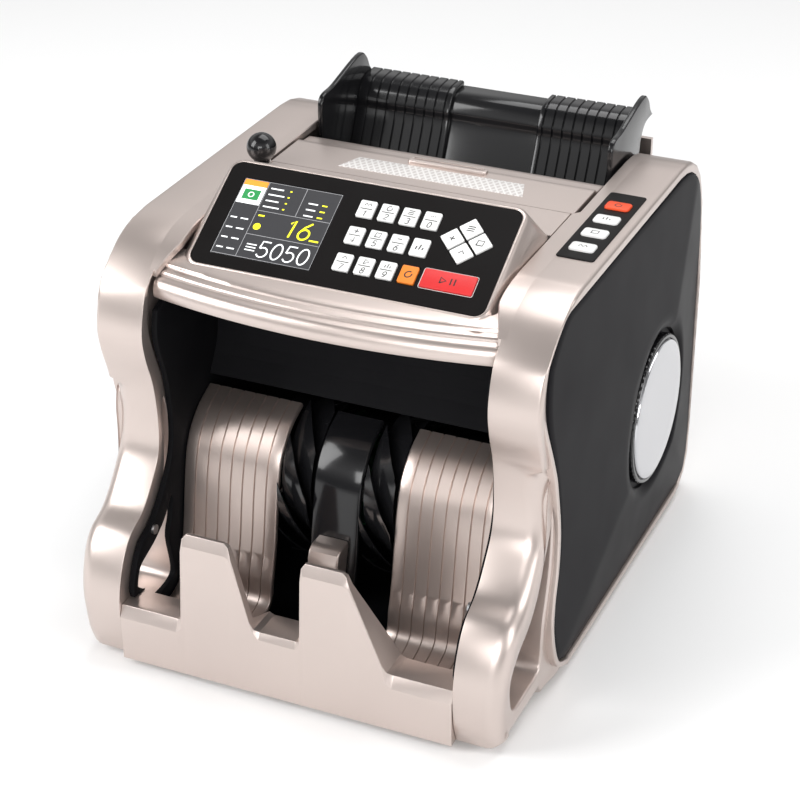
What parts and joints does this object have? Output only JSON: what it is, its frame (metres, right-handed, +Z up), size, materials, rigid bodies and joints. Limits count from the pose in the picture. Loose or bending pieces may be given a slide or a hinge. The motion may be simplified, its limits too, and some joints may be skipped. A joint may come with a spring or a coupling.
{
  "type": "banknote counting machine",
  "caption": "Loose-note counter with a top feed hopper, sloping key panel with screen, ribbed front stacker, faceted side covers and a side hand wheel.",
  "frame": {"origin": "centre of the bounding box in X and Y, at the underside of the feet", "axes": "-Y towards the user at the front, +X to the user's right, +Z up"},
  "size_m": [0.265, 0.316, 0.2575],
  "materials": {
    "champagne_silver": "satin metallic paint, warm rose silver, fine flake",
    "side_black": "satin moulded black with soft sheen",
    "chassis_black": "fine grained moulded black",
    "gloss_black": "polished black moulding",
    "overlay_black": "smooth membrane film",
    "screen": "dark display window",
    "foot_rubber": "soft matt rubber",
    "circuit_board": "green solder mask",
    "bare_steel": "turned and pressed steel",
    "roller_rubber": "ground rubber",
    "wheel_silver": "bright silver cap on a black ribbed rim",
    "rocker_black": "moulded black",
    "key_white": "white printed key cap",
    "key_orange": "orange key cap",
    "key_red": "red key cap",
    "key_scarlet": "orange-red key cap"
  },
  "bodies": {
    "machine": {"front_plate": "champagne_silver", "left_stack_guide": "champagne_silver", "right_stack_guide": "champagne_silver", "sensor_block": "champagne_silver", "left_side_frame": "champagne_silver", "right_side_frame": "champagne_silver", "top_cover": "champagne_silver", "panel_bezel": "champagne_silver", "hopper_front_plate": "champagne_silver", "rear_cover": "champagne_silver", "left_side_cover": "side_black", "right_side_cover": "side_black", "left_inner_wall": "chassis_black", "right_inner_wall": "chassis_black", "cavity_liner": "chassis_black", "base_tray": "chassis_black", "power_inlet": "chassis_black", "centre_guide": "gloss_black", "hopper_tray": "gloss_black", "panel_overlay": "overlay_black", "side_keypad_plate": "overlay_black", "display_module": "screen", "rubber_feet": "foot_rubber", "main_board": "circuit_board", "power_supply": "bare_steel", "drive_motor": "bare_steel", "shaft_bearings": "bare_steel", "cover_screws": "bare_steel"},
    "left_note_guide": {"left_hopper_guide": "gloss_black"},
    "right_note_guide": {"right_hopper_guide": "gloss_black"},
    "drive": {"drive_shaft": "bare_steel", "drive_rollers": "roller_rubber", "hand_wheel": "wheel_silver"},
    "pickup": {"pickup_rollers": "roller_rubber"},
    "stacker": {"stacker_shaft": "bare_steel", "left_stacker_wheel": "gloss_black", "right_stacker_wheel": "gloss_black"},
    "knob": {"thickness_knob": "gloss_black"},
    "rocker": {"power_rocker": "rocker_black"},
    "body_key_1": {"key_1": "key_white"},
    "body_key_2": {"key_2": "key_white"},
    "body_key_3": {"key_3": "key_white"},
    "body_key_0": {"key_0": "key_white"},
    "body_key_4": {"key_4": "key_white"},
    "body_key_5": {"key_5": "key_white"},
    "body_key_6": {"key_6": "key_white"},
    "body_key_mode": {"key_mode": "key_white"},
    "body_key_7": {"key_7": "key_white"},
    "body_key_8": {"key_8": "key_white"},
    "body_key_9": {"key_9": "key_white"},
    "body_key_clear": {"key_clear": "key_orange"},
    "body_key_up": {"key_up": "key_white"},
    "body_key_right": {"key_right": "key_white"},
    "body_key_down": {"key_down": "key_white"},
    "body_key_left": {"key_left": "key_white"},
    "body_key_start": {"key_start": "key_red"},
    "body_side_key_1": {"side_key_1": "key_scarlet"},
    "body_side_key_2": {"side_key_2": "key_white"},
    "body_side_key_3": {"side_key_3": "key_white"},
    "body_side_key_4": {"side_key_4": "key_white"}
  },
  "joints": [
    {"name": "left_guide_slide", "type": "slide", "parent": "machine", "child": "left_note_guide", "axis": [1, 0, 0], "range_m": [0, 0.025]},
    {"name": "right_guide_slide", "type": "slide", "parent": "machine", "child": "right_note_guide", "axis": [-1, 0, 0], "range_m": [0, 0.025]},
    {"name": "drive_spin", "type": "hinge", "parent": "machine", "child": "drive", "pos_m": [0, 0.07, 0.097], "axis": [1, 0, 0], "continuous": true},
    {"name": "pickup_spin", "type": "hinge", "parent": "machine", "child": "pickup", "pos_m": [0, 0.096, 0.178], "axis": [1, 0, 0], "continuous": true},
    {"name": "stacker_spin", "type": "hinge", "parent": "machine", "child": "stacker", "pos_m": [0, -0.048, 0.08], "axis": [1, 0, 0], "continuous": true},
    {"name": "thickness_turn", "type": "hinge", "parent": "machine", "child": "knob", "pos_m": [-0.0945, 0.019, 0.232], "axis": [0, 0, 1], "range_deg": [-150, 150]},
    {"name": "rocker_tilt", "type": "hinge", "parent": "machine", "child": "rocker", "pos_m": [-0.03, 0.1505, 0.04], "axis": [1, 0, 0], "range_deg": [0, 14]},
    {"name": "key_1_press", "type": "slide", "parent": "machine", "child": "body_key_1", "axis": [0, 0.5068, -0.8621], "range_m": [0, 0.0006], "stiffness_N_per_m": 200},
    {"name": "key_2_press", "type": "slide", "parent": "machine", "child": "body_key_2", "axis": [0, 0.5068, -0.8621], "range_m": [0, 0.0006], "stiffness_N_per_m": 200},
    {"name": "key_3_press", "type": "slide", "parent": "machine", "child": "body_key_3", "axis": [0, 0.5068, -0.8621], "range_m": [0, 0.0006], "stiffness_N_per_m": 200},
    {"name": "key_0_press", "type": "slide", "parent": "machine", "child": "body_key_0", "axis": [0, 0.5068, -0.8621], "range_m": [0, 0.0006], "stiffness_N_per_m": 200},
    {"name": "key_4_press", "type": "slide", "parent": "machine", "child": "body_key_4", "axis": [0, 0.5068, -0.8621], "range_m": [0, 0.0006], "stiffness_N_per_m": 200},
    {"name": "key_5_press", "type": "slide", "parent": "machine", "child": "body_key_5", "axis": [0, 0.5068, -0.8621], "range_m": [0, 0.0006], "stiffness_N_per_m": 200},
    {"name": "key_6_press", "type": "slide", "parent": "machine", "child": "body_key_6", "axis": [0, 0.5068, -0.8621], "range_m": [0, 0.0006], "stiffness_N_per_m": 200},
    {"name": "key_mode_press", "type": "slide", "parent": "machine", "child": "body_key_mode", "axis": [0, 0.5068, -0.8621], "range_m": [0, 0.0006], "stiffness_N_per_m": 200},
    {"name": "key_7_press", "type": "slide", "parent": "machine", "child": "body_key_7", "axis": [0, 0.5068, -0.8621], "range_m": [0, 0.0006], "stiffness_N_per_m": 200},
    {"name": "key_8_press", "type": "slide", "parent": "machine", "child": "body_key_8", "axis": [0, 0.5068, -0.8621], "range_m": [0, 0.0006], "stiffness_N_per_m": 200},
    {"name": "key_9_press", "type": "slide", "parent": "machine", "child": "body_key_9", "axis": [0, 0.5068, -0.8621], "range_m": [0, 0.0006], "stiffness_N_per_m": 200},
    {"name": "key_clear_press", "type": "slide", "parent": "machine", "child": "body_key_clear", "axis": [0, 0.5068, -0.8621], "range_m": [0, 0.0006], "stiffness_N_per_m": 200},
    {"name": "key_up_press", "type": "slide", "parent": "machine", "child": "body_key_up", "axis": [0, 0.5068, -0.8621], "range_m": [0, 0.0006], "stiffness_N_per_m": 200},
    {"name": "key_right_press", "type": "slide", "parent": "machine", "child": "body_key_right", "axis": [0, 0.5068, -0.8621], "range_m": [0, 0.0006], "stiffness_N_per_m": 200},
    {"name": "key_down_press", "type": "slide", "parent": "machine", "child": "body_key_down", "axis": [0, 0.5068, -0.8621], "range_m": [0, 0.0006], "stiffness_N_per_m": 200},
    {"name": "key_left_press", "type": "slide", "parent": "machine", "child": "body_key_left", "axis": [0, 0.5068, -0.8621], "range_m": [0, 0.0006], "stiffness_N_per_m": 200},
    {"name": "key_start_press", "type": "slide", "parent": "machine", "child": "body_key_start", "axis": [0, 0.5068, -0.8621], "range_m": [0, 0.0006], "stiffness_N_per_m": 200},
    {"name": "side_key_1_press", "type": "slide", "parent": "machine", "child": "body_side_key_1", "axis": [0, 0, -1], "range_m": [0, 0.0006], "stiffness_N_per_m": 200},
    {"name": "side_key_2_press", "type": "slide", "parent": "machine", "child": "body_side_key_2", "axis": [0, 0, -1], "range_m": [0, 0.0006], "stiffness_N_per_m": 200},
    {"name": "side_key_3_press", "type": "slide", "parent": "machine", "child": "body_side_key_3", "axis": [0, 0, -1], "range_m": [0, 0.0006], "stiffness_N_per_m": 200},
    {"name": "side_key_4_press", "type": "slide", "parent": "machine", "child": "body_side_key_4", "axis": [0, 0, -1], "range_m": [0, 0.0006], "stiffness_N_per_m": 200}
  ],
  "couplings": [
    {"joint": "pickup_spin", "follows": "drive_spin", "ratio": 1.5},
    {"joint": "stacker_spin", "follows": "drive_spin", "ratio": 0.25}
  ]
}
